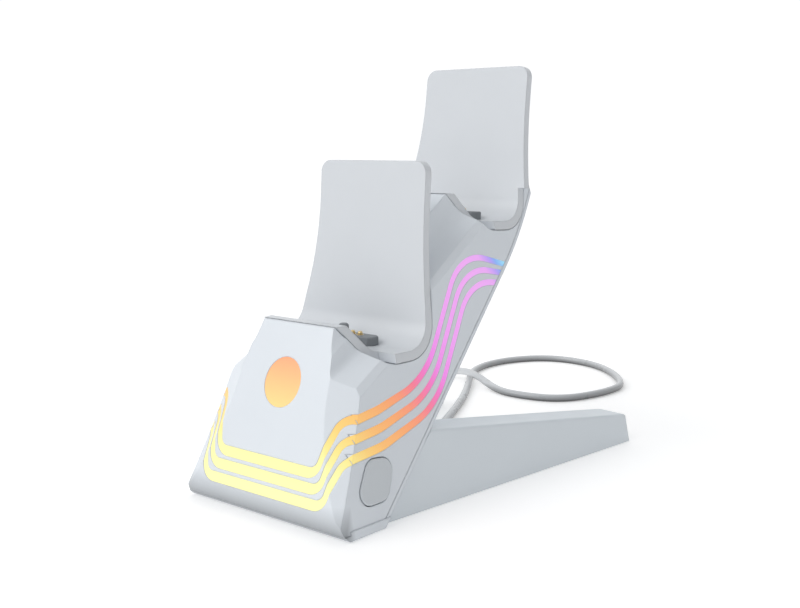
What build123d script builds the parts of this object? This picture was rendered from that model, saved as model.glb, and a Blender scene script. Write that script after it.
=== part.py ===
from build123d import *
import math
import os

# Driving dimensions, in millimetres and degrees. X is to the right, Y to the
# rear, Z up. The source works from the middle of the front foot edge and moves
# everything to the middle of the object's footprint at the end.
base_width = 82.2
base_depth = 22.0
side_lean = 10.4
side_flare = 4.0
shell_wall = 2.2
cover_thick = 1.8
fit_gap = 0.3
seam_width = 0.3
seam_depth = 0.5
side_datum_y = 3.0

# Foot of the housing
seam_z = 2.4
sole_z = 0.6
rail_z = 3.75
rail_width = 3.5
rail_proud = 0.4
base_tail = 0.4
nose_top_z = 9.0
nose_top_y = -1.1
nose_foot_y = 0.2
front_bulge = 1.6

# The two tiers
lip_setback = 20.6
lip_rise = 10.4
lip_depth = 35.1
lip_land = 0.8
lip_slope = 50.0
rim_proud = 0.6
seat_height = 60.5
tier_back = 70.5
tier_up = 44.5
tier_tilt = 3.0
lower_lip_half = 18.9
upper_lip_half = 16.6
lip_side_run = 0.158
lip_side_lean = 0.275
lower_ramp = 28.0
upper_ramp = 30.6
shoulder_fall = 28.4
shoulder_drop = 0.6
shoulder_length = 30.0
shoulder_edge = 0.8
lower_shoulder_blend = 4.0
upper_shoulder_blend = 9.0

# Front corner facets
facet_turn = 29.2
facet_foot = 0.25
facet_head = 20.65
facet_hollow = 0.8
facet_foot_z = 6.5
facet_head_drop = 6.5

# Rear outline, from the foot to places in the upper tier's frame
bend_u = -13.33
bend_w = -20.75
crown_u = 11.9
crown_w = 12.3
backing_u = 9.4
backing_w = 23.0

# Cradle liners
liner_wall = 3.6
lower_plate = 71.0
upper_plate = 67.5
plate_lean = 8.7
plate_hollow = 1.5
plate_half = 27.3
plate_corner = 5.0
flare_half = 35.4
flare_height = 56.0
flare_trim = 14.0
seat_front_round = 8.0
seat_rear_round = 11.5

# Rear legs
leg_splay = 8.5
leg_length = 153.5
leg_start_x = 40.2
leg_start_y = 25.0
leg_front_height = 33.2
leg_end_height = 13.3
leg_front_width = 23.0
leg_end_width = 16.6
leg_lean = 8.0
leg_wall = 2.4
leg_front_wall = 3.0
leg_end_lean = 1.5
leg_round = 1.2
leg_rib_shares = (0.36, 0.68)
leg_sole_length = 16.0
leg_sole_height = 4.0
foot_proud = 0.5

# Light strips. The top one's corners are placed from the side, as shares of the
# seat's height and from the two tiers, and each next strip is a step further
strip_count = 3
strip_depth = 1.2
strip_sink = 0.15
strip_width = 3.9
strip_rise_width = 2.5
strip_flare_width = 6.0
strip_side_width = 3.3
strip_mid_width = 2.6
strip_end_width = 2.1
strip_foot_in = 15.9
strip_foot_share = 0.3587
strip_rise_in = 11.1
strip_rise_share = 0.674
strip_bend_y = 25.0
strip_bend_rise = 1.4
strip_low_ahead = 2.7
strip_low_drop = 11.6
strip_high_ahead = 7.6
strip_high_drop = 10.0
strip_end_ahead = 1.2
strip_end_drop = 20.7
foot_step_out = 2.65
foot_step_down = 5.2
rise_step_out = 2.3
rise_step_down = 6.55
low_step_back = 2.2
low_step_down = 5.5
high_step_back = 1.7
high_step_down = 6.2
end_step_down = 3.0
front_round = 5.0
low_round = 36.0
high_round = 22.0
strip_split_y = 13.9
split_step = 2.7

# Window and push button
window_drop = 10.5
window_radius = 9.0
button_y = 18.9
button_low = 9.9
button_under = 2.177
button_base = 16.9
button_top = 13.7
button_rake = 7.8
button_skew = 1.6
button_round = 5.0
button_gap = 0.35
button_proud = 0.6
button_flange = 1.0
button_flange_thick = 1.2
button_stem = 2.4
button_travel = 0.6
button_slack = 0.2

# Contacts, in each tier's own frame
block_left = 2.5
block_right = 16.6
block_front = -12.6
block_depth = 6.6
block_height = 3.5
block_chamfer = 1.6
pin_x = 4.8
pin_pitch = 3.8
pin_u = -9.2
pin_radius = 1.0
pin_clear = 0.05
pin_proud = 1.4
pin_travel = 1.0
pin_length = 5.4
pin_slack = 0.1
barrel_wall = 0.45
post_radius = 2.1
post_height = 7.2
post_peg = 1.2
contact_board_thick = 1.2
contact_board_margin = 2.0
contact_board_clear = 1.0

# Boards inside
board_thick = 1.6
board_depth = 9.0
board_margin = 1.0
side_board_ahead = 11.0
side_board_behind = 36.0
side_board_low = 9.0
side_board_high = 26.0
side_post_ahead = 4.0
side_post_behind = 30.0
side_post_high = 20.0
side_post_mid = 17.0
side_post_low = 12.0
side_led_count = 5
side_led_start = -2.0
side_led_pitch = 7.5
side_led_row = 15.5
front_board_in = 20.1
front_board_low = 25.5
front_board_high = 14.0
front_post_in = 4.0
front_post_low = 21.0
front_post_high = 10.0
front_led_count = 6
front_led_pitch = 6.0
front_led_row = -17.0
window_led_count = 3
window_led_pitch = 8.0
window_led_row = 6.0
led_size = 2.0
led_height = 0.8
switch_size = 6.0
switch_height = 3.5
plunger_radius = 1.6
plunger_height = 0.8
main_board_at = 62.0
main_board_width = 40.0
main_board_length = 32.0
main_standoff = 6.0
controller_size = 10.0
controller_height = 1.2
inductor_size = 7.0
inductor_height = 3.2
socket_width = 9.0
socket_length = 6.0
socket_height = 3.5
regulator_width = 5.0
regulator_length = 4.0
regulator_height = 1.0

# Fasteners and feet
screw_radius = 1.1
screw_head = 2.2
screw_head_height = 1.4
screw_grip = 8.0
screw_sink = 0.2
screw_tip = 0.6
boss_radius = 3.2
cover_screw_runs = (45.0, 105.0)
leg_screw_runs = (13.0, 26.0)
cradle_screw_x = 20.0
cradle_screw_u = -14.0
foot_pad_depth = 1.2
foot_pad_round = 2.0
leg_pad_width = 8.0
leg_pad_length = 10.0
base_pad_width = 14.0
base_pad_length = 9.0
base_pad_in = 12.0

# Cord
cord_diameter = 4.0
cord_x = -9.0
cord_along = 40.0
relief_length = 16.0
relief_radius = 4.4
relief_flange = 5.6
relief_flange_thick = 1.5
relief_collar = 3.0
relief_lip = 0.8
groove_count = 3
groove_start = 5.0
groove_pitch = 3.0
groove_width = 1.2
groove_floor = 0.6
coil_x = -105.0
coil_y = 125.0
coil_radius = 22.4
coil_turns_wide = 3
coil_turns_high = 2
tie_thick = 0.8
tie_width = 10.0
tail_length = 12.0
plug_width = 16.0
plug_length = 24.0
plug_height = 8.0
plug_shell_width = 12.0
plug_shell_height = 4.5
plug_shell_length = 12.0
plug_shell_wall = 0.4
plug_shell_round = 0.6
plug_round = 2.0
plug_cone_lip = 0.6
plug_cone_in = 0.4

reach = 400.0


def polar(angle):
    return Vector(math.cos(math.radians(angle)), math.sin(math.radians(angle)))


def slab(face, half=reach / 2):
    """Profile drawn as (rear, up), drawn out to both sides of the middle."""
    return extrude(Plane.YZ * face, amount=half, both=True)


def beyond(point, normal):
    """Large block on the outer side of a plane."""
    block = Box(reach, reach, reach, align=(Align.CENTER, Align.CENTER, Align.MIN))
    return Plane(origin=point, z_dir=normal) * block


def mirrored(shape):
    return mirror(shape, about=Plane.YZ)


class Tier:
    """One cradle step: its seat corner, tilt, plate and shoulders."""

    def __init__(self, back, up, tilt, plate, lip_half, ramp, blend):
        self.corner = Vector(lip_setback + lip_depth + back, seat_height + up)
        self.tilt = tilt
        self.plate = plate
        self.lip_half = lip_half
        self.blend = blend
        self.flat = Pos(self.corner.X, self.corner.Y) * Rot(0, 0, -tilt)
        self.place = Pos(0, self.corner.X, self.corner.Y) * Rot(-tilt, 0, 0)
        self.lip = self.point(-lip_depth, lip_rise)
        self.fall = math.tan(math.radians(shoulder_fall))
        self.ramp_out = Vector(self.fall, -math.tan(math.radians(ramp)), 1).normalized()

    def point(self, u, w):
        at = (self.flat * Pos(u, w)).position
        return Vector(at.X, at.Y)

    def pad_space(self):
        """Room for a game pad above the liner, in the tier's own (rear, up)."""
        down = polar(-lip_slope)
        inward = polar(90 - lip_slope)
        rim = Vector(-lip_depth + lip_land, lip_rise) + inward * (fit_gap + liner_wall)
        foot = rim + down * (rim.Y / math.sin(math.radians(lip_slope)))
        far = rim - down * lip_depth
        mid = Vector(plate_lean, self.plate) * 0.5 + Vector(1, -plate_lean / self.plate) * plate_hollow
        top = Vector(plate_lean, self.plate)
        over = top + Vector(plate_lean, self.plate) * 0.4
        edges = Polyline((far.X, over.Y), far, foot, (0, 0))
        edges += ThreePointArc((0, 0), mid, top)
        edges += Polyline(top, over, (far.X, over.Y))
        face = make_face(edges)
        face = fillet(face.vertices().sort_by_distance((0, 0, 0))[0], seat_rear_round)
        return fillet(face.vertices().sort_by_distance((foot.X, foot.Y, 0))[0], seat_front_round)

    def recess(self, inset):
        return self.flat * offset(self.pad_space(), liner_wall + fit_gap + inset)

    def shoulder(self, inset):
        """Cutter over the right shoulder: above the ramp and outside the lip."""
        lip_out = Vector(1, -lip_side_run, lip_side_lean).normalized()
        edge = Vector(0, self.lip.X, self.lip.Y)
        over = beyond(edge - self.ramp_out * (inset + shoulder_drop), self.ramp_out)
        outside = beyond(edge + Vector(self.lip_half, 0, 0) - lip_out * inset, lip_out)
        cutter = over & outside
        crease = [e for e in cutter.edges() if abs(e.tangent_at(0.5).dot(self.ramp_out)) < 1e-6
                  and abs(e.tangent_at(0.5).dot(lip_out)) < 1e-6]
        near = sorted(crease, key=lambda e: e.distance_to(edge))[0]
        cutter = fillet(near, self.blend + inset)
        return cutter - self.rear()

    def rear(self):
        return beyond((0, self.lip.X + shoulder_length, 0), (0, 1, 0))

    def broken_edge(self, inset):
        """Cutter that breaks the edge between the right shoulder and the side."""
        start = Vector(0, self.lip.X, self.lip.Y) - self.ramp_out * (inset + shoulder_drop)
        across = Vector(1, 0, -self.fall)
        run = (side_foot - side_out * inset - start).dot(side_out) / across.dot(side_out)
        out = (self.ramp_out + side_out).normalized()
        return beyond(start + across * run - out * shoulder_edge, out) - self.rear()


side_foot = Vector(base_width / 2, side_datum_y, seam_z)
side_out = Vector(1, -math.tan(math.radians(side_flare)), math.tan(math.radians(side_lean))).normalized()
lower = Tier(0, 0, 0, lower_plate, lower_lip_half, lower_ramp, lower_shoulder_blend)
upper = Tier(tier_back, tier_up, tier_tilt, upper_plate, upper_lip_half, upper_ramp, upper_shoulder_blend)

# Rear outline: a straight run, then an arc to the crown
rear_foot = Vector(base_depth, seam_z)
rear_bend = upper.point(bend_u, bend_w)
rear_angle = math.degrees(math.atan2(rear_bend.Y - rear_foot.Y, rear_bend.X - rear_foot.X))
rear_dir = polar(rear_angle)
rear_in = polar(rear_angle + 90)
crown = upper.point(crown_u, crown_w)
rear_chord = crown - rear_bend
rear_radius = rear_chord.dot(rear_chord) / (2 * rear_chord.dot(rear_in))
rear_centre = rear_bend + rear_in * rear_radius
rear_sweep = 2 * math.degrees(math.asin(rear_chord.length / 2 / rear_radius))


def rear_arc_point(sweep, inset=0.0):
    return rear_centre + polar(rear_angle - 90 + sweep) * (rear_radius - inset)


def rear_region(inset):
    """Everything behind the rear outline moved inward."""
    start = rear_foot + rear_in * inset - rear_dir * reach / 8
    bend = rear_bend + rear_in * inset
    mid = rear_arc_point(rear_sweep * 0.75, inset)
    end = rear_arc_point(rear_sweep * 1.5, inset)
    edges = Line(start, bend)
    edges += ThreePointArc(bend, mid, end)
    edges += Polyline(end, (end.X + reach / 4, end.Y), (end.X + reach / 4, start.Y), start)
    return make_face(edges)


def body_profile():
    nose_top = Vector(nose_top_y, nose_top_z)
    nose_foot = Vector(nose_foot_y, seam_z)
    chord = lower.lip - nose_top
    out = Vector(-chord.Y, chord.X).normalized()
    front = ThreePointArc(lower.lip, (lower.lip + nose_top) * 0.5 + out * front_bulge, nose_top)
    nose = TangentArc(nose_top, nose_foot, tangent=front % 1)
    edges = front + nose
    edges += Polyline(nose_foot, rear_foot, rear_bend)
    edges += ThreePointArc(rear_bend, rear_arc_point(rear_sweep / 2), crown)
    edges += Polyline(crown, upper.point(backing_u, backing_w), upper.lip, lower.lip)
    return make_face(edges)


def facet(inset):
    """Cutter in front of the right facet, ruled along its plan direction."""
    turn = math.radians(facet_turn)
    plane = Plane(origin=(base_width / 2, 0, 0), x_dir=(-math.sin(turn), math.cos(turn), 0),
                  z_dir=(math.cos(turn), math.sin(turn), 0))
    foot = Vector(-facet_foot + inset, facet_foot_z)
    head = Vector(facet_head + inset, seat_height - facet_head_drop)
    run = head - foot
    mid = (foot + head) * 0.5 + Vector(run.Y, -run.X).normalized() * facet_hollow
    low = foot - run * 0.5
    edges = ThreePointArc(foot, mid, head)
    edges += Polyline(head, (head.X, 2 * head.Y), (-reach / 2, 2 * head.Y), (-reach / 2, low.Y), low, foot)
    return extrude(plane * make_face(edges), amount=reach / 2, both=True)


def side_plane(inset):
    return beyond(side_foot - side_out * inset, side_out)


profile = body_profile()


def housing(inset, open_rear=False):
    """The housing's form with every wall moved inward, or all but the rear one."""
    face = offset(profile, -inset) if inset else profile
    face = face - lower.recess(inset) - upper.recess(inset)
    if open_rear:
        face = face + (Pos(*tuple(rear_in * -inset)) * face & rear_region(inset))
    solid = slab(face)
    for cutter in (side_plane(inset), facet(inset), lower.shoulder(inset), upper.shoulder(inset),
                   lower.broken_edge(inset), upper.broken_edge(inset)):
        solid = solid - cutter - mirrored(cutter)
    return solid


outer = housing(0)
cavity = housing(shell_wall, open_rear=True).solids().sort_by(SortBy.VOLUME)[-1]
board_room = housing(shell_wall + board_margin)
skin = housing(strip_depth)
sunk = housing(strip_sink)
behind = slab(rear_region(0))
back = slab(rear_region(cover_thick))
cover_seam = back - slab(rear_region(cover_thick - seam_width)) - housing(seam_depth)
rear_cover = (outer & back) - cover_seam
front_shell = outer - cavity - back

# What the later pieces add to the shell and the rear cover, and cut from them
shell_bosses = []
shell_cuts = []
cover_bosses = []
cover_cuts = []


def bent_line(points, radii):
    """Straight runs joined by tangent arcs, one radius for each inner point."""
    edges = []
    at = points[0]
    for before, corner, after, radius in zip(points, points[1:], points[2:], radii):
        into = (corner - before).normalized()
        out = (after - corner).normalized()
        run = radius * math.tan(math.radians(into.get_angle(out)) / 2)
        edges.append(Line(at, corner - into * run))
        edges.append(TangentArc(corner - into * run, corner + out * run, tangent=into))
        at = corner + out * run
    edges.append(Line(at, points[-1]))
    return edges


def crossing(first, second):
    """Where two lines, each given by two points, meet."""
    run = first[1] - first[0]
    other = second[1] - second[0]
    share = (second[0] - first[0]).cross(other).Z / run.cross(other).Z
    return first[0] + run * share


def ribbon(points, widths, radii):
    """Flat band along a bent line, with the widths at both ends of each run and round bends."""
    edges = []
    ends = []
    for side in (1, -1):
        lines = []
        for a, b, (first, last) in zip(points, points[1:], widths):
            along = (b - a).normalized()
            out = Vector(-along.Y, along.X) * (side / 2)
            lines.append((a + out * first, b + out * last))
        corners = [lines[0][0]] + [crossing(a, b) for a, b in zip(lines, lines[1:])] + [lines[-1][1]]
        rounds = []
        for i, radius in enumerate(radii):
            turn = (points[i + 1] - points[i]).cross(points[i + 2] - points[i + 1]).Z
            half = (widths[i][1] + widths[i + 1][0]) / 4
            rounds.append(radius - math.copysign(half, turn * side))
        edges += bent_line(corners, rounds)
        ends.append(corners)
    edges.append(Line(ends[0][0], ends[1][0]))
    edges.append(Line(ends[0][-1], ends[1][-1]))
    return make_face(edges)


def strip_cutter(k):
    """Band of one light strip: over the front and facets, then along the sides."""
    split = strip_split_y - split_step * k
    side_x = base_width / 2
    foot = Vector(side_x - strip_foot_in + foot_step_out * k, strip_foot_share * seat_height - foot_step_down * k)
    rise = Vector(side_x - strip_rise_in + rise_step_out * k, strip_rise_share * seat_height - rise_step_down * k)
    low = lower.corner + Vector(low_step_back * k - strip_low_ahead, -strip_low_drop - low_step_down * k)
    high = Vector(upper.lip.X - strip_high_ahead, upper.corner.Y - strip_high_drop)
    high = high + Vector(high_step_back, -high_step_down) * k
    end = upper.corner - Vector(strip_end_ahead, strip_end_drop + end_step_down * k)
    right = [foot, rise, rise + Vector(base_width / 4, 0)]
    left = [Vector(-point.X, point.Y) for point in reversed(right)]
    climb = (strip_rise_width, strip_rise_width)
    front = ribbon(left + right, [(strip_flare_width, strip_rise_width), climb, (strip_width, strip_width), climb,
                                  (strip_rise_width, strip_flare_width)], [front_round] * 4)
    bend = Vector(strip_bend_y, rise.Y + strip_bend_rise)
    side = ribbon([Vector(split, rise.Y), bend, low, high, end],
                  [(strip_side_width, strip_side_width), (strip_side_width, strip_mid_width),
                   (strip_mid_width, strip_mid_width), (strip_mid_width, strip_end_width)],
                  [low_round, low_round, high_round])
    over_front = extrude(Plane.XZ.offset(-split) * front, amount=2 * strip_split_y)
    along_side = extrude(Plane.YZ * side, amount=base_width)
    return over_front + along_side + mirrored(along_side)


strip_cutters = [strip_cutter(k) for k in range(strip_count)]
light_strips = [((sunk - skin) & cutter) - back for cutter in strip_cutters]
shell_cuts += [cutter - skin for cutter in strip_cutters]

# Round window in the front face, held by a flange behind the wall
window_axis = Plane(origin=(0, -reach / 20, seat_height - window_drop), x_dir=(1, 0, 0), z_dir=(0, 1, 0))
window_bore = window_axis * extrude(Circle(window_radius), amount=reach / 10)
window_rim = window_axis * extrude(Circle(window_radius + shell_wall), amount=reach / 10)
front_window = ((sunk - cavity) & window_bore) + ((cavity - board_room) & window_rim)
shell_cuts.append(window_bore)

# Frames on the right side wall, on the front wall and on the rear face. The
# button keeps clear of the lowest strip's bend above it
lowest_rise = strip_rise_share * seat_height - rise_step_down * (strip_count - 1)
button_height = lowest_rise - button_under - button_low
button_z = button_low + button_height / 2
button_x = (base_width / 2 + (button_y - side_datum_y) * math.tan(math.radians(side_flare))
            - (button_z - seam_z) * math.tan(math.radians(side_lean)))
side_frame = Plane(origin=(button_x, button_y, button_z), z_dir=side_out,
                   x_dir=(math.tan(math.radians(side_flare)), 1, 0))
front_low = Vector(nose_top_y, nose_top_z)
front_run = (lower.lip - front_low).normalized()
front_mid = (lower.lip + front_low) * 0.5
front_frame = Plane(origin=(0, front_mid.X, front_mid.Y), x_dir=(1, 0, 0), z_dir=(0, -front_run.Y, front_run.X))


def rear_frame(x, along):
    at = rear_foot + rear_dir * along
    return Plane(origin=(x, at.X, at.Y), x_dir=(1, 0, 0), z_dir=(0, -rear_in.X, -rear_in.Y))


def peg(frame, x, y, low, high, radius):
    """Round bar between two heights above a frame."""
    return frame * Pos(x, y, low) * Cylinder(radius, high - low, align=(Align.CENTER, Align.CENTER, Align.MIN))


def screw(frame, x, y, seat, grip, inward=False):
    """Pan head screw with its head on the outer side of the seat, or the inner."""
    turn = Rot(180, 0, 0) if inward else Pos(0, 0, 0)
    head = Cylinder(screw_head, screw_head_height, align=(Align.CENTER, Align.CENTER, Align.MIN))
    head = fillet(head.edges().sort_by(Axis.Z)[-1], screw_head_height * 0.4)
    shank = Cylinder(screw_radius, grip, align=(Align.CENTER, Align.CENTER, Align.MAX))
    return frame * Pos(x, y, seat) * turn * (head + shank)


# Push button: cap, retaining flange and stem, with its switch and side board
button_half = button_height / 2
button_corners = [(-(button_base + button_rake) / 2, -button_half), ((button_base - button_rake) / 2, -button_half),
                  ((button_top + button_rake) / 2, button_half - button_skew / 2),
                  (-(button_top - button_rake) / 2, button_half + button_skew / 2)]
button_face = make_face(Polyline(*button_corners, close=True))
button_face = fillet(button_face.vertices(), button_round)
flange_top = -(shell_wall + button_slack)
flange_low = flange_top - button_flange_thick
stem_end = flange_low - button_stem
plunger_top = stem_end - button_travel - button_slack
board_face = plunger_top - plunger_height - switch_height
cap = extrude(side_frame.offset(flange_top) * button_face, amount=button_proud - flange_top)
cap_face = cap.faces().filter_by(lambda f: f.normal_at().dot(side_out) > 0.99)
cap = fillet(cap_face.edges(), button_proud * 0.8)
flange = extrude(side_frame.offset(flange_low) * offset(button_face, button_gap + button_flange),
                 amount=button_flange_thick)
button_room = housing(shell_wall + button_slack)
mode_button = cap + (flange & button_room) + peg(side_frame, 0, 0, stem_end, flange_low, plunger_radius)
shell_cuts.append(extrude(side_frame.offset(flange_top) * offset(button_face, button_gap), amount=reach / 20))
mode_switch = side_frame * Pos(0, 0, board_face) * Box(switch_size, switch_size, switch_height,
                                                       align=(Align.CENTER, Align.CENTER, Align.MIN))
mode_switch = mode_switch + peg(side_frame, 0, 0, board_face + switch_height, plunger_top, plunger_radius)


def board(frame, low_x, high_x, low_y, high_y, face):
    """Circuit board with its outer side at a height above a frame."""
    plate = Pos((low_x + high_x) / 2, (low_y + high_y) / 2, face) * Box(
        high_x - low_x, high_y - low_y, board_thick, align=(Align.CENTER, Align.CENTER, Align.MAX))
    return frame * plate & board_room


def leds(frame, places, face):
    chip = Box(led_size, led_size, led_height, align=(Align.CENTER, Align.CENTER, Align.MIN))
    return [frame * Pos(x, y, face) * chip for x, y in places]


side_posts = [(side_post_ahead, side_post_high), (side_post_mid, side_post_low), (side_post_behind, side_post_high)]
right_light_board = board(side_frame, -side_board_ahead, side_board_behind, -side_board_low, side_board_high, board_face)
side_leds = leds(side_frame, [(side_led_start + side_led_pitch * i, side_led_row) for i in range(side_led_count)],
                 board_face)
front_half = base_width / 2 - front_board_in
front_post_x = front_half - front_post_in
front_posts = [(x, y) for x in (-front_post_x, front_post_x) for y in (-front_post_low, front_post_high)]
front_light_board = board(front_frame, -front_half, front_half, -front_board_low, front_board_high, -board_depth)
strip_row = [((i - (front_led_count - 1) / 2) * front_led_pitch, front_led_row) for i in range(front_led_count)]
window_row = [((i - (window_led_count - 1) / 2) * window_led_pitch, window_led_row) for i in range(window_led_count)]
front_leds = leds(front_frame, strip_row + window_row, -board_depth)
board_screws = []
for x, y in side_posts:
    boss = peg(side_frame, x, y, board_face, 0, boss_radius) & cavity
    shell_bosses += [boss, mirrored(boss)]
    fastener = screw(side_frame, x, y, board_face - board_thick, board_thick + screw_grip / 2, inward=True)
    board_screws += [fastener, mirrored(fastener)]
    right_light_board = right_light_board - fastener
left_light_board = mirrored(right_light_board)
side_leds += [mirrored(led) for led in side_leds]
for x, y in front_posts:
    shell_bosses.append(peg(front_frame, x, y, -board_depth, front_bulge, boss_radius) & cavity)
    fastener = screw(front_frame, x, y, -board_depth - board_thick, board_thick + screw_grip / 2, inward=True)
    board_screws.append(fastener)
    front_light_board = front_light_board - fastener
shell_cuts += board_screws

# Main board on standoffs of the rear cover
main_frame = rear_frame(0, main_board_at)
main_face = -cover_thick - main_standoff
main_board = main_frame * Pos(0, 0, main_face) * Box(main_board_width, main_board_length, board_thick,
                                                     align=(Align.CENTER, Align.CENTER, Align.MAX))
for x in (-main_board_width / 2 + boss_radius, main_board_width / 2 - boss_radius):
    for y in (-main_board_length / 2 + boss_radius, main_board_length / 2 - boss_radius):
        cover_bosses.append(peg(main_frame, x, y, main_face, -cover_thick, boss_radius))
        fastener = screw(main_frame, x, y, main_face - board_thick, board_thick + screw_grip / 2, inward=True)
        board_screws.append(fastener)
        cover_cuts.append(fastener)
        main_board = main_board - fastener


def chip(x, y, width, length, height):
    return main_frame * Pos(x, y, main_face - board_thick) * Box(
        width, length, height, align=(Align.CENTER, Align.CENTER, Align.MAX))


board_components = [
    chip(-main_board_width * 0.05, main_board_length * 0.16, controller_size, controller_size, controller_height),
    chip(main_board_width * 0.25, main_board_length * 0.06, inductor_size, inductor_size, inductor_height),
    chip(-main_board_width * 0.25, -main_board_length * 0.22, socket_width, socket_length, socket_height),
    chip(main_board_width * 0.1, -main_board_length * 0.25, regulator_width, regulator_length, regulator_height),
]

# Screws of the rear cover, in bosses along the shell's side walls
cover_screws = []
for along in cover_screw_runs:
    at = rear_foot + rear_dir * along
    wall_x = (base_width / 2 + (at.X - side_datum_y) * math.tan(math.radians(side_flare))
              - (at.Y - seam_z) * math.tan(math.radians(side_lean)) - shell_wall)
    for side in (-1, 1):
        frame = rear_frame(side * (wall_x - boss_radius), along)
        boss = peg(frame, 0, 0, -cover_thick - screw_grip - boss_radius, -cover_thick, boss_radius)
        shell_bosses.append(boss & cavity)
        cover_screws.append(screw(frame, 0, 0, 0, cover_thick + screw_grip))
shell_cuts += cover_screws
cover_cuts += cover_screws


def leg_block(inset):
    """The right leg's outer form, in its own frame: X inward, Y along."""
    fall = (leg_front_height - leg_end_height) / leg_length
    ahead = -base_depth
    profile = make_face(Polyline((ahead, foot_proud), (leg_length - inset, foot_proud),
                                 (leg_length - leg_end_lean - inset, leg_end_height - inset),
                                 (ahead, leg_front_height - ahead * fall - inset), close=True))
    plan = make_face(Polyline((inset, ahead), (leg_front_width - inset, ahead), (leg_end_width - inset, leg_length),
                              (inset, leg_length), close=True))
    solid = slab(profile) & extrude(plan, amount=reach / 4)
    return solid - beyond((inset, 0, 0), (-1, 0, math.tan(math.radians(leg_lean))))


leg_frame = Pos(leg_start_x, leg_start_y, 0) * Rot(0, 0, -leg_splay)
leg_form = mirrored(leg_block(0))
leg_room = mirrored(leg_block(leg_wall))
leg_edges = leg_form.edges().filter_by(lambda e: e.center().Z > leg_end_height * 0.9 and e.length > leg_end_width / 2)
leg_ribs = []
for share in leg_rib_shares:
    leg_ribs.append(leg_form & Pos(0, leg_length * share, 0) * Box(reach, leg_wall, reach))
leg_sole = leg_form & Pos(0, leg_length, 0) * Box(reach, 2 * leg_sole_length, 2 * leg_sole_height)
leg_form = fillet(leg_edges, leg_round)
leg_hollow = leg_frame * leg_room & slab(rear_region(-leg_front_wall))
right_leg = (leg_frame * leg_form & behind) - leg_hollow
for rib in leg_ribs + [leg_sole]:
    right_leg = right_leg + (leg_frame * rib & leg_hollow)

# Screws from inside the rear cover into bosses in the legs
leg_screws = []
for along in leg_screw_runs:
    at = rear_foot + rear_dir * along
    x = (leg_start_x + (at.X - leg_start_y) * math.tan(math.radians(leg_splay))
         - at.Y * math.tan(math.radians(leg_lean)) - leg_front_width / 2)
    frame = rear_frame(x, along)
    fastener = screw(frame, 0, 0, -cover_thick, cover_thick + screw_grip, inward=True)
    right_leg = right_leg + (peg(frame, 0, 0, 0, screw_grip + screw_radius, boss_radius) & leg_hollow) - fastener
    leg_screws += [fastener, mirrored(fastener)]
cover_cuts += leg_screws


def foot_pad(width, length):
    pad = extrude(RectangleRounded(width, length, foot_pad_round), amount=foot_pad_depth)
    return chamfer(pad.edges().group_by(Axis.Z)[0], foot_pad_depth / 4)


leg_pad = leg_frame * Pos(-leg_end_width / 2, leg_length - leg_sole_length / 2, 0) * foot_pad(leg_pad_width, leg_pad_length)
right_leg = right_leg - leg_pad
left_leg = mirrored(right_leg)
base_pad = Pos(base_width / 2 - base_pad_in, base_depth / 2, 0) * foot_pad(base_pad_width, base_pad_length)
rubber_feet = [leg_pad, mirrored(leg_pad), base_pad, mirrored(base_pad)]

# Base plate with a raised rail under each side wall
base_side = side_plane(-rail_proud)
base_profile = make_face(Polyline((nose_foot_y, seam_z), (nose_foot_y + seam_z - sole_z, sole_z),
                                  (base_depth - base_tail, sole_z), (base_depth, seam_z), close=True))
rail = Pos(base_width / 2, side_datum_y, seam_z) * Box(
    2 * rail_width, base_depth * 2, rail_z - seam_z, align=(Align.CENTER, Align.MIN, Align.MIN))
rails = rail + mirrored(rail)
base_plate = slab(base_profile) + rails - behind - base_side - mirrored(base_side)
shell_cuts.append(rails)
cover_cuts.append(rails)
base_screws = []
floor_frame = Plane(origin=(0, base_depth / 2, 0), x_dir=(1, 0, 0), z_dir=(0, 0, 1))
base_screw_seat = sole_z + screw_head_height - screw_sink
for x in (-base_width / 5, base_width / 5):
    fastener = screw(floor_frame, x, 0, base_screw_seat, screw_grip, inward=True)
    shell_bosses.append(peg(floor_frame, x, 0, seam_z, seam_z + screw_grip + screw_radius, boss_radius) & cavity)
    base_screws.append(fastener)
    base_plate = base_plate - fastener - peg(floor_frame, x, 0, 0, base_screw_seat, screw_head)
shell_cuts += base_screws
for pad in rubber_feet:
    base_plate = base_plate - pad


def cradle(tier):
    """Liner of one tier: seat, front rim and tall curved plate."""
    inner = tier.pad_space()
    rim_top = lip_rise + rim_proud
    far = reach / 4
    clip = make_face(Polyline((-far, rim_top), (-plate_lean, rim_top), (-plate_lean, tier.plate),
                              (far, tier.plate), (far, -far), (-far, -far), close=True))
    band = (offset(inner, liner_wall) - inner) & clip
    solid = slab(band, flare_half + liner_wall)
    turn = plate_half - plate_corner
    over = tier.plate + plate_half
    side = TangentArc((turn, tier.plate), (plate_half, tier.plate - plate_corner), tangent=(1, 0))
    side += Line((plate_half, tier.plate - plate_corner), (plate_half, flare_height))
    side += TangentArc((plate_half, flare_height), (flare_half, 0), tangent=(0, -1))
    side += Polyline((flare_half, 0), (reach / 4, 0), (reach / 4, over), (turn, over), (turn, tier.plate))
    flank = extrude(Plane.XZ * make_face(side), amount=reach / 2, both=True)
    solid = tier.place * (solid - flank - mirrored(flank))
    trim = side_plane(0) - beyond((0, 0, tier.corner.Y + flare_trim), (0, 0, 1))
    lip_out = Vector(1, -lip_side_run, lip_side_lean).normalized()
    lip_end = beyond((tier.lip_half, tier.lip.X, tier.lip.Y), lip_out)
    lip_end = lip_end - beyond((0, tier.lip.X + lip_depth / 2, 0), (0, 1, 0))
    return solid - trim - mirrored(trim) - lip_end - mirrored(lip_end)


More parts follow.
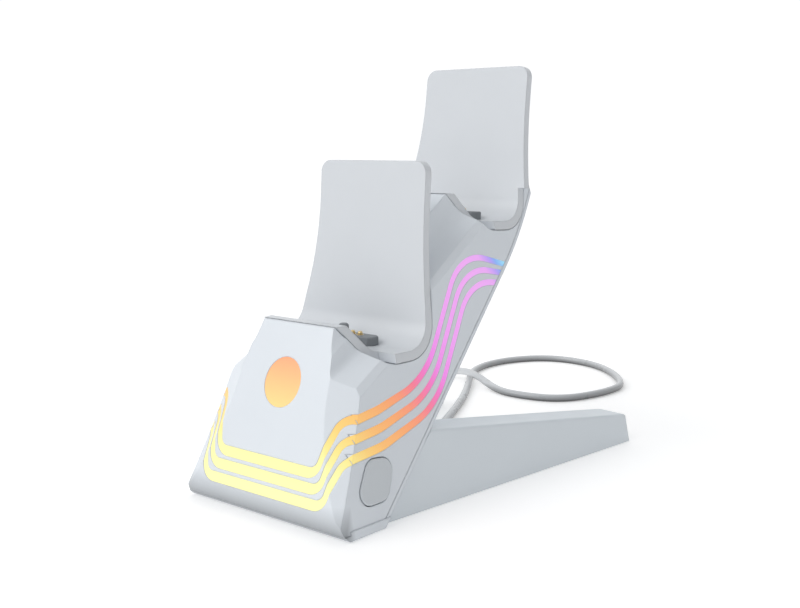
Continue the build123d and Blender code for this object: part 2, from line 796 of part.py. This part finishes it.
class Contacts:
    """Contact block, spring pins, locating post and board of one tier."""

    def __init__(self, tier):
        frame = Plane(tier.place)
        self.liner = cradle(tier)
        block = Box(block_right - block_left, block_depth, block_height, align=(Align.MIN, Align.MIN, Align.MIN))
        block = chamfer(block.edges().filter_by(Axis.Z), block_chamfer)
        block = chamfer(block.faces().sort_by(Axis.Z)[-1].edges(), block_chamfer / 4)
        self.block = frame * Pos(block_left, block_front, 0) * block - self.liner
        self.pins = []
        self.barrels = []
        for x in (pin_x, pin_x + pin_pitch):
            tip = block_height + pin_proud
            bore = pin_radius + pin_clear
            pin = peg(Plane.XY, 0, 0, tip - pin_length, tip, pin_radius)
            pin = fillet(pin.edges().sort_by(Axis.Z)[-1], pin_radius * 0.8)
            self.pins.append(frame * Pos(x, pin_u, 0) * pin)
            barrel = peg(frame, x, pin_u, -liner_wall, block_height, bore + barrel_wall)
            self.block = self.block - barrel
            self.liner = self.liner - barrel
            self.barrels.append(barrel - peg(frame, x, pin_u, tip - pin_length - pin_travel - pin_slack, tip, bore))
        post = peg(Plane.XY, 0, 0, 0, post_height, post_radius)
        post = fillet(post.edges().sort_by(Axis.Z)[-1], post_radius * 0.6)
        self.post = frame * Pos(0, pin_u, 0) * (post + peg(Plane.XY, 0, 0, -liner_wall, 0, post_peg))
        self.liner = self.liner - peg(frame, 0, pin_u, -liner_wall, 0, post_peg)
        self.post = self.post - self.liner
        board_low = -liner_wall - contact_board_thick
        width = block_right + contact_board_margin
        depth = block_depth + contact_board_margin
        plate = Box(width, depth, contact_board_thick, align=(Align.MIN, Align.MIN, Align.MIN))
        self.board = frame * Pos(-contact_board_margin, block_front - contact_board_margin, board_low) * plate
        hole = Box(width + 2 * contact_board_clear, depth + 2 * contact_board_clear, liner_wall + 2 * shell_wall,
                   align=(Align.MIN, Align.MIN, Align.MAX))
        hole_in = contact_board_margin + contact_board_clear
        shell_cuts.append(frame * Pos(-hole_in, block_front - hole_in, 0) * hole)
        self.screws = []
        for x in (-cradle_screw_x, cradle_screw_x):
            seat = -liner_wall - fit_gap - shell_wall
            fastener = screw(frame, x, cradle_screw_u, seat, shell_wall + fit_gap + liner_wall - screw_tip, inward=True)
            self.screws.append(fastener)
            self.liner = self.liner - fastener
            shell_cuts.append(fastener)


lower_set = Contacts(lower)
upper_set = Contacts(upper)

# Strain relief, cord, coil and plug
cord_frame = rear_frame(cord_x, cord_along)
cord_radius = cord_diameter / 2
relief_low = -cover_thick - relief_flange_thick
relief = make_face(Polyline((0, relief_low), (relief_flange, relief_low), (relief_flange, -cover_thick),
                            (relief_radius, -cover_thick), (relief_radius, relief_collar),
                            (cord_radius + relief_lip, relief_length), (0, relief_length), close=True))
strain_relief = cord_frame * revolve(Plane.XZ * relief, Axis.Z)
for i in range(groove_count):
    low = groove_start + groove_pitch * i
    groove = peg(cord_frame, 0, 0, low, low + groove_width, relief_flange)
    groove = groove - peg(cord_frame, 0, 0, low, low + groove_width, cord_radius + groove_floor)
    strain_relief = strain_relief - groove
cover_cuts.append(peg(cord_frame, 0, 0, -cover_thick, 0, relief_radius))
exit_at = cord_frame.origin + cord_frame.z_dir * relief_length
floor_run = (exit_at.Z - cord_radius) / -cord_frame.z_dir.Z
touch = exit_at + cord_frame.z_dir * floor_run
hump_z = 1.65 * cord_diameter
cord_points = [exit_at, touch] + [Vector(x, y, z) for x, y, z in (
    (-7.5, 110.0, cord_radius), (-23.2, 150.0, cord_radius), (-42.2, 191.7, cord_radius),
    (-58.5, 220.5, cord_radius), (-78.5, 252.7, cord_radius), (-78.5, 287.3, cord_radius),
    (-58.3, 315.5, cord_radius), (-20.7, 312.5, cord_radius), (12.8, 276.5, cord_radius),
    (12.8, 248.6, cord_radius), (1.0, 219.5, cord_radius), (-27.0, 214.5, cord_radius),
    (-42.0, 221.0, cord_radius), (-57.0, 225.9, hump_z), (-70.2, 230.4, hump_z),
    (-87.0, 234.2, cord_radius), (-106.0, 231.0, cord_radius), (-121.0, 213.5, cord_radius),
    (-128.0, 182.0, cord_radius), (-131.0, 150.0, cord_radius + tie_thick))]
coil_half = coil_turns_wide * cord_radius
coil_out = coil_radius + coil_half - cord_radius
cord_points.append(Vector(coil_x - coil_out, coil_y, cord_radius + tie_thick))
turns = [math.radians((b - a).get_angle(c - b)) for a, b, c in zip(cord_points, cord_points[1:], cord_points[2:])]
runs = [(b - a).length for a, b in zip(cord_points, cord_points[1:])]
cord_radii = [0.45 * min(a, b) / math.tan(t / 2) for a, b, t in zip(runs, runs[1:], turns)]
cord_path = Wire(bent_line(cord_points, cord_radii))
cord_tube = sweep(Plane(cord_path ^ 0) * Circle(cord_radius), path=cord_path)
coil_low = tie_thick
coil_high = tie_thick + coil_turns_high * cord_diameter
coil_section = Pos(coil_radius, (coil_low + coil_high) / 2) * RectangleRounded(
    2 * coil_half, coil_high - coil_low, cord_radius * 0.9)
cord_coil = Pos(coil_x, coil_y, 0) * revolve(Plane.XZ * coil_section, Axis.Z)
cord = cord_tube - cord_coil
tie_section = Rectangle(2 * (coil_half + tie_thick), coil_high - coil_low + 2 * tie_thick)
tie_bar = Pos(coil_x, coil_y - coil_radius, (coil_low + coil_high) / 2) * extrude(
    Plane.YZ * tie_section, amount=tie_width / 2, both=True)
cord_tie = tie_bar - cord_coil - Pos(coil_x, coil_y, 0) * Cylinder(coil_radius - coil_half - tie_thick, reach / 4)
tail_z = (coil_low + coil_high) / 2
tail_frame = Plane(origin=(coil_x + coil_out, coil_y, tail_z), x_dir=(1, 0, 0), z_dir=(0, 1, 0))
tail_start = math.sqrt((coil_radius + coil_half) ** 2 - coil_out ** 2)
cord_tail = peg(tail_frame, 0, 0, 0, tail_start + tail_length, cord_radius) - cord_coil
plug_at = tail_start + tail_length
plug_relief = plug_length / 3
plug_body = tail_frame * Pos(0, 0, plug_at + plug_relief) * extrude(
    RectangleRounded(plug_width, plug_height, plug_round), amount=plug_length - plug_relief)
plug_body = plug_body + tail_frame * Pos(0, 0, plug_at + plug_relief / 2) * Cone(
    cord_radius + plug_cone_lip, plug_height / 2 - plug_cone_in, plug_relief)
plug_section = RectangleRounded(plug_shell_width, plug_shell_height, plug_shell_round)
plug_section = plug_section - offset(plug_section, -plug_shell_wall)
plug_shell = tail_frame * Pos(0, 0, plug_at + plug_length) * extrude(plug_section, amount=plug_shell_length)
coil_turns = coil_turns_wide * coil_turns_high - 0.5
cord_length = cord_path.length + coil_turns * 2 * math.pi * coil_radius + plug_at
print("cord length", round(cord_length), "tightest bend", round(min(cord_radii), 1))

for boss in shell_bosses:
    front_shell = front_shell + boss
for cut in shell_cuts:
    front_shell = front_shell - cut
for boss in cover_bosses:
    rear_cover = rear_cover + boss
for cut in cover_cuts:
    rear_cover = rear_cover - cut

nodes = {
    "front_shell": front_shell,
    "rear_cover": rear_cover,
    "base_plate": base_plate,
    "right_leg": right_leg,
    "left_leg": left_leg,
    "lower_cradle": lower_set.liner,
    "upper_cradle": upper_set.liner,
    "lower_contact_block": lower_set.block,
    "upper_contact_block": upper_set.block,
    "lower_left_pin": lower_set.pins[0],
    "lower_right_pin": lower_set.pins[1],
    "upper_left_pin": upper_set.pins[0],
    "upper_right_pin": upper_set.pins[1],
    "pin_barrels": lower_set.barrels + upper_set.barrels,
    "lower_locating_post": lower_set.post,
    "upper_locating_post": upper_set.post,
    "lower_contact_board": lower_set.board,
    "upper_contact_board": upper_set.board,
    "upper_light_strip": light_strips[0],
    "middle_light_strip": light_strips[1],
    "lower_light_strip": light_strips[2],
    "front_window": front_window,
    "mode_button": mode_button,
    "mode_switch": mode_switch,
    "right_light_board": right_light_board,
    "left_light_board": left_light_board,
    "side_leds": side_leds,
    "front_light_board": front_light_board,
    "front_leds": front_leds,
    "main_board": main_board,
    "board_components": board_components,
    "board_screws": board_screws,
    "cover_screws": cover_screws,
    "leg_screws": leg_screws,
    "base_screws": base_screws,
    "cradle_screws": lower_set.screws + upper_set.screws,
    "rubber_feet": rubber_feet,
    "strain_relief": strain_relief,
}
cord_nodes = {
    "cord": cord,
    "cord_coil": cord_coil,
    "cord_tie": cord_tie,
    "cord_tail": cord_tail,
    "plug_body": plug_body,
    "plug_shell": plug_shell,
}


def solids_of(shape):
    pieces = shape if isinstance(shape, list) else [shape]
    return [solid for piece in pieces for solid in piece.solids()]


box = Compound([solid for shape in nodes.values() for solid in solids_of(shape)]).bounding_box()
to_centre = Pos(0, -(box.min.Y + box.max.Y) / 2, 0)
print("footprint middle", (box.min.Y + box.max.Y) / 2, "size", box.size)
os.makedirs("parts", exist_ok=True)
for name, shape in (nodes | cord_nodes).items():
    solids = solids_of(shape)
    print(name, len(solids))
    export_step(to_centre * (solids[0] if len(solids) == 1 else Compound(solids)), "parts/" + name + ".step")
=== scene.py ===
"""Looks of the charging dock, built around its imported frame. Metres, +X right, +Y to the rear, +Z up."""

import math

import bpy
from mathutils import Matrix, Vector


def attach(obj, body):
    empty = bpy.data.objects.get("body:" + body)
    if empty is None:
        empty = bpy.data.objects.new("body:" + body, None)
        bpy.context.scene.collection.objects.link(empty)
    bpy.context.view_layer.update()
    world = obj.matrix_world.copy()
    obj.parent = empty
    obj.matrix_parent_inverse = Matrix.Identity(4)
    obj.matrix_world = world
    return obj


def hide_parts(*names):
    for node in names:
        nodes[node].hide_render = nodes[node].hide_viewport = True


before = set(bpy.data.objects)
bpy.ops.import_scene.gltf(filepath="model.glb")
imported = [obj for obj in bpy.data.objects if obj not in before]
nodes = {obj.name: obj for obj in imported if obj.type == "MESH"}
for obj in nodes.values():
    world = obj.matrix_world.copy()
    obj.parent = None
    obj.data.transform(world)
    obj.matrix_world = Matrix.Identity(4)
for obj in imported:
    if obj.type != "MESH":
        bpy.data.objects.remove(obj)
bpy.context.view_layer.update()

MM = 0.001

# Camera: the photograph's viewpoint, for an image 800 pixels wide
CAMERA_PLACE = (0.263887, -0.340368, 0.137039)
CAMERA_AZIMUTH = 38.306
CAMERA_PITCH = 8.834
CAMERA_LENS = 45.619
CAMERA_NEAR = 0.01
SENSOR_WIDTH = 36.0

# Cord: the route of the part's cord, then its coil and tail
CORD_DIAMETER = 0.004
CORD_RADIUS = CORD_DIAMETER / 2
FLOOR_Z = CORD_RADIUS
HUMP_Z = 1.65 * CORD_DIAMETER
TIE_THICK = 0.0008
CORD_EXIT = (-0.0090, -0.02670, 0.01770)
CORD_ROUTE = [
    CORD_EXIT,
    (-0.0090, -0.01226, FLOOR_Z),
    (-0.0075, 0.02103, FLOOR_Z),
    (-0.0232, 0.06103, FLOOR_Z),
    (-0.0422, 0.10273, FLOOR_Z),
    (-0.0585, 0.13153, FLOOR_Z),
    (-0.0785, 0.16373, FLOOR_Z),
    (-0.0785, 0.19833, FLOOR_Z),
    (-0.0583, 0.22653, FLOOR_Z),
    (-0.0207, 0.22353, FLOOR_Z),
    (0.0128, 0.18753, FLOOR_Z),
    (0.0128, 0.15963, FLOOR_Z),
    (0.0010, 0.13053, FLOOR_Z),
    (-0.0270, 0.12553, FLOOR_Z),
    (-0.0420, 0.13203, FLOOR_Z),
    (-0.0570, 0.13693, HUMP_Z),
    (-0.0702, 0.14143, HUMP_Z),
    (-0.0870, 0.14523, FLOOR_Z),
    (-0.1060, 0.14203, FLOOR_Z),
    (-0.1210, 0.12453, FLOOR_Z),
    (-0.1280, 0.09303, FLOOR_Z),
    (-0.1310, 0.06103, FLOOR_Z + TIE_THICK),
]
COIL_CENTRE = (-0.1050, 0.03603)
COIL_TURNS = 5.5
COIL_LAYER_TURNS = 3
COIL_RADIUS = 0.0224
COIL_STEPS = 16
HALF_TURN = 0.5
TAIL_LENGTH = 0.0225

# Colours of the lit strips, by distance behind the front plus a share of the height, in millimetres
LIGHT_FRONT_Y = -0.08897
LIGHT_HEIGHT_SHARE = 0.7
LIGHT_STOPS = [
    (8, (1.0, 0.98, 0.47)),
    (20, (1.0, 0.95, 0.42)),
    (28, (1.0, 0.82, 0.28)),
    (36, (1.0, 0.67, 0.20)),
    (46, (1.0, 0.53, 0.17)),
    (60, (1.0, 0.42, 0.16)),
    (70, (1.0, 0.33, 0.20)),
    (79, (0.98, 0.22, 0.32)),
    (88, (0.95, 0.20, 0.58)),
    (98, (0.94, 0.27, 0.86)),
    (114, (0.94, 0.37, 0.95)),
    (148, (0.94, 0.44, 0.97)),
    (160, (0.88, 0.43, 0.97)),
    (166, (0.50, 0.36, 0.96)),
    (169, (0.26, 0.46, 0.96)),
    (175, (0.38, 0.82, 1.0)),
]
WINDOW_STOPS = [
    (36, (1.0, 0.74, 0.28)),
    (57, (1.0, 0.40, 0.20)),
]
LIT_ROUGHNESS = 0.35
LIT_STRENGTH = 0.6
LIT_BODY = 0.45
LED_COLOR = (1.0, 0.86, 0.55)

# Where the two lower strips turn the front corners, an opaque mask trims them above a line: the X it reaches
# in to, the line's end on the facet (X, Z) and its end at the corner (X, Y, Z)
MIDDLE_TRIM = (0.03275, (0.03359, 0.03519), (0.03544, -0.07643, 0.03602))
LOWER_TRIM = (0.03378, (0.03510, 0.02818), (0.03646, -0.07911, 0.02945))

# Shell colour, and painted shade on the rounded nose at the front foot: the share its base colour is
# darkened to towards the floor
SHELL_COLOR = (0.725, 0.765, 0.81)
NOSE_PAINTED_SHADE = 0.45
NOSE_HEIGHTS = (0.002, 0.0125)
NOSE_DEPTHS = (-0.0885, -0.084)

# Painted shade: the cord's base colour is darkened towards its underside, where it lies on the floor
CORD_COLOR = (0.60, 0.615, 0.63)
CORD_PAINTED_SHADE = 0.16
CORD_HEIGHTS = (0.0008, 0.0041)

# Studio: a white floor, a soft key from the front, and a sky that is brighter behind the object and overhead
FLOOR_SIZE = 8.0
FLOOR_COLOR = (0.8, 0.8, 0.8)
FLOOR_GLOW = 0.32
KEY_FROM = (-0.35, -0.72, 0.60)
KEY_STRENGTH = 1.35
KEY_SPREAD = 50.0
SKY_COLOR = (0.98, 0.99, 1.0)
SKY_BACK = (-0.62, 0.785, 0.0)
SKY_BACK_EDGE = (0.3, 0.85)
SKY_BRIGHT = 1.05
SKY_DARK = 0.36
SKY_TOP = 0.4
SKY_TOP_EDGE = (0.3, 1.0)

# Values between which nearly all of a noise texture lies, and the rays that soften an edge
NOISE_REACH = (0.3, 0.7)
EDGE_SAMPLES = 6


class Nodes:
    """A node tree, and short names for the nodes that materials and the sky share."""

    def __init__(self, tree, places):
        self.tree = tree
        self.places = self.add("ShaderNodeTexCoord").outputs[places]

    def add(self, kind, **settings):
        node = self.tree.nodes.new(kind)
        for key, value in settings.items():
            setattr(node, key, value)
        return node

    def link(self, source, target):
        self.tree.links.new(source, target)

    def feed(self, socket, value):
        """Socket linked to another socket, or set to a plain number or colour."""
        if isinstance(value, bpy.types.NodeSocket):
            self.link(value, socket)
        elif isinstance(value, (int, float)):
            socket.default_value = value
        else:
            socket.default_value = (*value, 1.0)

    def math(self, operation, *values):
        node = self.add("ShaderNodeMath", operation=operation)
        for socket, value in zip(node.inputs, values):
            self.feed(socket, value)
        return node.outputs["Value"]

    def mix(self, factor, first, second, blend_type="MIX"):
        node = self.add("ShaderNodeMix", data_type="RGBA", blend_type=blend_type)
        self.feed(node.inputs["Factor"], factor)
        self.feed(node.inputs["A"], first)
        self.feed(node.inputs["B"], second)
        return node.outputs["Result"]

    def spread(self, value, start, end):
        """Value within the two start numbers, spread over the two end numbers."""
        node = self.add("ShaderNodeMapRange")
        for name, number in zip(("From Min", "From Max", "To Min", "To Max"), (*start, *end)):
            node.inputs[name].default_value = number
        self.link(value, node.inputs["Value"])
        return node.outputs["Result"]

    def axes(self):
        split = self.add("ShaderNodeSeparateXYZ")
        self.link(self.places, split.inputs["Vector"])
        return split.outputs


class Finish(Nodes):
    """A Principled material and the ways in which its surface varies."""

    def __init__(self, name, color, roughness, metallic=0.0):
        self.material = bpy.data.materials.new(name)
        self.material.use_nodes = True
        super().__init__(self.material.node_tree, "Object")
        self.inputs = self.tree.nodes["Principled BSDF"].inputs
        self.feed(self.inputs["Base Color"], color)
        self.feed(self.inputs["Roughness"], roughness)
        self.feed(self.inputs["Metallic"], metallic)
        self.color = color
        self.roughness = roughness

    def noise(self, scale, detail=3.0, stretch=None):
        """Noise of that many waves per metre, stretched along an axis if asked."""
        texture = self.add("ShaderNodeTexNoise")
        texture.inputs["Scale"].default_value = scale
        texture.inputs["Detail"].default_value = detail
        places = self.places
        if stretch:
            mapping = self.add("ShaderNodeMapping")
            mapping.inputs["Scale"].default_value = stretch
            self.link(places, mapping.inputs["Vector"])
            places = mapping.outputs["Vector"]
        self.link(places, texture.inputs["Vector"])
        return texture.outputs["Fac"]

    def vary_color(self, value, amount):
        """Base colour lighter and darker by that share."""
        darker = [c * (1 - amount) for c in self.color]
        lighter = [min(1.0, c * (1 + amount)) for c in self.color]
        self.link(self.mix(value, darker, lighter), self.inputs["Base Color"])

    def vary_roughness(self, value, amount):
        limits = (self.roughness - amount, self.roughness + amount)
        self.link(self.spread(value, NOISE_REACH, limits), self.inputs["Roughness"])

    def relief(self, value, depth, edge=0.0):
        """Bump of that depth in metres, over edges softened to that radius."""
        bump = self.add("ShaderNodeBump")
        bump.inputs["Distance"].default_value = depth
        self.link(value, bump.inputs["Height"])
        if edge:
            bevel = self.add("ShaderNodeBevel", samples=EDGE_SAMPLES)
            bevel.inputs["Radius"].default_value = edge
            self.link(bevel.outputs["Normal"], bump.inputs["Normal"])
        self.link(bump.outputs["Normal"], self.inputs["Normal"])

    def glow(self, color, strength):
        self.feed(self.inputs["Emission Color"], color)
        self.feed(self.inputs["Emission Strength"], strength)

    def shade(self, share, **limits):
        """Painted shade: base colour darkened to a share where each named axis is at its first limit or
        before it.

        It is whole where any of them is past its second limit.
        """
        axes = self.axes()
        shares = [self.spread(axes[axis], reach, (share, 1.0)) for axis, reach in limits.items()]
        while len(shares) > 1:
            shares.append(self.math("MAXIMUM", shares.pop(), shares.pop()))
        base = self.inputs["Base Color"]
        self.link(self.mix(1.0, base.links[0].from_socket, shares[0], "MULTIPLY"), base)

    def wear(self, *names):
        for name in names:
            nodes[name].data.materials.clear()
            nodes[name].data.materials.append(self.material)


def moulded(name, color, roughness, grain=0.000004, edge=0.0007):
    """Moulded plastic: a fine spark-eroded grain, soft edges and slight shade changes."""
    finish = Finish(name, color, roughness)
    finish.vary_color(finish.noise(scale=35.0), amount=0.02)
    finish.vary_roughness(finish.noise(scale=120.0), amount=0.05)
    finish.relief(finish.noise(scale=5200.0, detail=2.0), grain, edge)
    return finish


def trimmed(finish, reach, start, end):
    """1 where the mask covers a strip at a front corner, on either side, and 0 elsewhere."""
    axes = finish.axes()
    out = finish.math("ABSOLUTE", axes["X"])
    slope = (end[2] - start[1]) / (end[0] - start[0])
    line = finish.math("MULTIPLY_ADD", out, slope, start[1] - slope * start[0])
    tests = [
        finish.math("GREATER_THAN", out, reach),
        finish.math("LESS_THAN", out, end[0]),
        finish.math("LESS_THAN", axes["Y"], end[1]),
        finish.math("GREATER_THAN", axes["Z"], line),
    ]
    while len(tests) > 1:
        tests.append(finish.math("MULTIPLY", tests.pop(), tests.pop()))
    return tests[0]


def lit(name, stops, trim=None):
    """Diffuser plastic, lit from behind: its colour runs with height and distance from the front."""
    first = stops[0][0]
    last = stops[-1][0]
    finish = Finish(name, stops[0][1], LIT_ROUGHNESS)
    axes = finish.axes()
    behind = finish.math("SUBTRACT", axes["Y"], LIGHT_FRONT_Y)
    run = finish.math("MULTIPLY_ADD", axes["Z"], LIGHT_HEIGHT_SHARE, behind)
    ramp = finish.add("ShaderNodeValToRGB")
    finish.link(finish.spread(run, (first * MM, last * MM), (0.0, 1.0)), ramp.inputs["Fac"])
    marks = ramp.color_ramp.elements
    ready = len(marks)
    for index, (place, color) in enumerate(stops):
        at = (place - first) / (last - first)
        mark = marks[index] if index < ready else marks.new(at)
        mark.position = at
        mark.color = (*color, 1.0)
    light = ramp.outputs["Color"]
    body = finish.mix(1.0, light, (LIT_BODY, LIT_BODY, LIT_BODY), "MULTIPLY")
    if trim:
        mask = trimmed(finish, *trim)
        body = finish.mix(mask, body, SHELL_COLOR)
        light = finish.mix(mask, light, (0.0, 0.0, 0.0))
    finish.link(body, finish.inputs["Base Color"])
    finish.glow(light, LIT_STRENGTH)
    finish.relief(finish.noise(scale=900.0, detail=2.0), depth=0.000003, edge=0.0004)
    return finish


def metal(name, color, roughness, stretch):
    """Metal with fine drawn lines along its longest side."""
    finish = Finish(name, color, roughness, metallic=1.0)
    lines = finish.noise(scale=900.0, detail=4.0, stretch=stretch)
    finish.vary_color(lines, amount=0.06)
    finish.vary_roughness(lines, amount=0.08)
    finish.relief(lines, depth=0.000003, edge=0.00015)
    return finish


def woven(name, color, pitch):
    """Close-woven tape: two crossing waves of threads."""
    finish = Finish(name, color, roughness=0.9)
    threads = []
    for axis in ("X", "Y"):
        wave = finish.add("ShaderNodeTexWave", bands_direction=axis)
        wave.inputs["Scale"].default_value = 1 / pitch
        wave.inputs["Distortion"].default_value = 0.4
        finish.link(finish.places, wave.inputs["Vector"])
        threads.append(wave.outputs["Fac"])
    weave = finish.math("MAXIMUM", *threads)
    finish.vary_color(weave, amount=0.35)
    finish.relief(weave, depth=0.00012)
    return finish


shell = moulded("shell_white", SHELL_COLOR, 0.42)
# Painted shade: the nose's base colour is darkened towards the floor
shell.shade(NOSE_PAINTED_SHADE, Z=NOSE_HEIGHTS, Y=NOSE_DEPTHS)
shell.wear("front_shell", "rear_cover", "base_plate")
moulded("leg_white", (0.70, 0.75, 0.79), 0.42).wear("right_leg", "left_leg")
moulded("liner_grey", (0.645, 0.67, 0.70), 0.38).wear("lower_cradle", "upper_cradle")
moulded("contact_grey", (0.20, 0.215, 0.23), 0.45, edge=0.0002).wear(
    "lower_contact_block", "upper_contact_block", "lower_locating_post", "upper_locating_post")
moulded("button_white", (0.60, 0.635, 0.665), 0.42, edge=0.0004).wear("mode_button")
moulded("chip_black", (0.02, 0.02, 0.022), 0.55, edge=0.0001).wear("board_components", "mode_switch")
moulded("foot_rubber", (0.09, 0.092, 0.096), 0.8, grain=0.00002, edge=0.0002).wear("rubber_feet")
moulded("plug_white", (0.80, 0.81, 0.82), 0.4, edge=0.0006).wear("plug_body")
moulded("relief_white", (0.78, 0.79, 0.80), 0.45, edge=0.0003).wear("strain_relief")

board = Finish("board_green", (0.012, 0.10, 0.035), 0.35)
board.vary_color(board.noise(scale=600.0), amount=0.3)
board.relief(board.noise(scale=1800.0), depth=0.00001)
board.wear("right_light_board", "left_light_board", "front_light_board", "main_board",
           "lower_contact_board", "upper_contact_board")

led = moulded("led_resin", (0.85, 0.82, 0.62), 0.25, edge=0.0001)
led.glow(LED_COLOR, LIT_STRENGTH)
led.wear("side_leds", "front_leds")

lit("light_upper", LIGHT_STOPS).wear("upper_light_strip")
lit("light_middle", LIGHT_STOPS, MIDDLE_TRIM).wear("middle_light_strip")
lit("light_lower", LIGHT_STOPS, LOWER_TRIM).wear("lower_light_strip")
lit("window_amber", WINDOW_STOPS).wear("front_window")

metal("contact_gold", (0.78, 0.60, 0.30), 0.32, stretch=(1.0, 1.0, 0.2)).wear(
    "lower_left_pin", "lower_right_pin", "upper_left_pin", "upper_right_pin", "pin_barrels")
metal("screw_steel", (0.55, 0.56, 0.58), 0.35, stretch=(1.0, 1.0, 0.3)).wear(
    "board_screws", "cover_screws", "leg_screws", "base_screws", "cradle_screws")
metal("plug_steel", (0.68, 0.69, 0.71), 0.25, stretch=(1.0, 0.1, 1.0)).wear("plug_shell")
woven("tie_black", (0.02, 0.02, 0.022), pitch=0.0012).wear("cord_tie")


def clamped(value, high):
    return min(max(value, 0.0), high)


def coil_points():
    """Turns of the put-away coil: the lower layer winds in, the upper one out."""
    drawn_in = math.cos(math.pi / COIL_STEPS)
    points = []
    for step in range(1, round(COIL_TURNS * COIL_STEPS) + 1):
        turn = step / COIL_STEPS
        angle = math.pi + 2 * math.pi * turn
        inner = turn if turn < COIL_LAYER_TURNS else COIL_TURNS - turn
        lane = clamped(inner - HALF_TURN, COIL_LAYER_TURNS - 1.0)
        radius = (COIL_RADIUS + CORD_DIAMETER * ((COIL_LAYER_TURNS - 1) / 2 - lane)) / drawn_in
        lift = clamped((turn - COIL_LAYER_TURNS + HALF_TURN / 2) / HALF_TURN, 1.0)
        drop = clamped((turn - COIL_TURNS + HALF_TURN) / HALF_TURN, 1.0)
        points.append((COIL_CENTRE[0] + radius * math.cos(angle),
                       COIL_CENTRE[1] + radius * math.sin(angle),
                       TIE_THICK + CORD_RADIUS + CORD_DIAMETER * (lift - drop / 2)))
    return points


def build_cord():
    line = bpy.data.curves.new("cord_line", "CURVE")
    line.dimensions = "3D"
    line.bevel_depth = CORD_RADIUS
    line.bevel_resolution = 5
    line.resolution_u = 8
    line.use_fill_caps = True
    turns = coil_points()
    x, y, z = turns[-1]
    points = CORD_ROUTE + turns + [(x, y + TAIL_LENGTH / 2, z), (x, y + TAIL_LENGTH, z)]
    spline = line.splines.new("NURBS")
    spline.points.add(len(points) - 1)
    for point, place in zip(spline.points, points):
        point.co = (*place, 1.0)
    spline.use_endpoint_u = True
    spline.order_u = 3
    piece = bpy.data.objects.new("power_cord", line)
    bpy.context.scene.collection.objects.link(piece)
    finish = moulded("cord_white", CORD_COLOR, 0.3, grain=0.000002, edge=0.0)
    # Painted shade: the cord's base colour is darkened towards its underside
    finish.shade(CORD_PAINTED_SHADE, Z=CORD_HEIGHTS)
    line.materials.append(finish.material)
    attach(piece, "dock")
    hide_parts("cord", "cord_coil", "cord_tail")


def build_floor():
    mesh = bpy.data.meshes.new("studio_floor")
    half = FLOOR_SIZE / 2
    corners = [(-half, -half, 0), (half, -half, 0), (half, half, 0), (-half, half, 0)]
    mesh.from_pydata(corners, [], [(0, 1, 2, 3)])
    floor = bpy.data.objects.new("studio_floor", mesh)
    bpy.context.scene.collection.objects.link(floor)
    finish = Finish("floor_white", FLOOR_COLOR, roughness=0.7)
    finish.vary_roughness(finish.noise(scale=6.0), amount=0.05)
    finish.glow((1.0, 1.0, 1.0), FLOOR_GLOW)
    mesh.materials.append(finish.material)


def build_light():
    key = bpy.data.lights.new("key", "SUN")
    key.energy = KEY_STRENGTH
    key.angle = math.radians(KEY_SPREAD)
    lamp = bpy.data.objects.new("key", key)
    lamp.rotation_euler = Vector(KEY_FROM).to_track_quat("Z", "Y").to_euler()
    bpy.context.scene.collection.objects.link(lamp)

    world = bpy.data.worlds.new("studio_sky")
    bpy.context.scene.world = world
    world.use_nodes = True
    sky = Nodes(world.node_tree, "Generated")
    towards = sky.add("ShaderNodeVectorMath", operation="DOT_PRODUCT")
    towards.inputs[1].default_value = SKY_BACK
    sky.link(sky.places, towards.inputs[0])
    back = sky.spread(towards.outputs["Value"], SKY_BACK_EDGE, (SKY_DARK, SKY_BRIGHT))
    top = sky.spread(sky.axes()["Z"], SKY_TOP_EDGE, (0.0, SKY_TOP))
    background = sky.tree.nodes["Background"]
    sky.feed(background.inputs["Color"], SKY_COLOR)
    sky.feed(background.inputs["Strength"], sky.math("ADD", back, top))

    view = bpy.context.scene.view_settings
    view.view_transform = "Standard"
    view.look = "None"


def build_camera():
    data = bpy.data.cameras.new("camera")
    data.sensor_fit = "HORIZONTAL"
    data.sensor_width = SENSOR_WIDTH
    data.lens = CAMERA_LENS
    data.clip_start = CAMERA_NEAR
    camera = bpy.data.objects.new("camera", data)
    camera.location = CAMERA_PLACE
    camera.rotation_euler = (math.radians(90 - CAMERA_PITCH), 0, math.radians(CAMERA_AZIMUTH))
    bpy.context.scene.collection.objects.link(camera)
    bpy.context.scene.camera = camera


build_cord()
build_floor()
build_light()
build_camera()
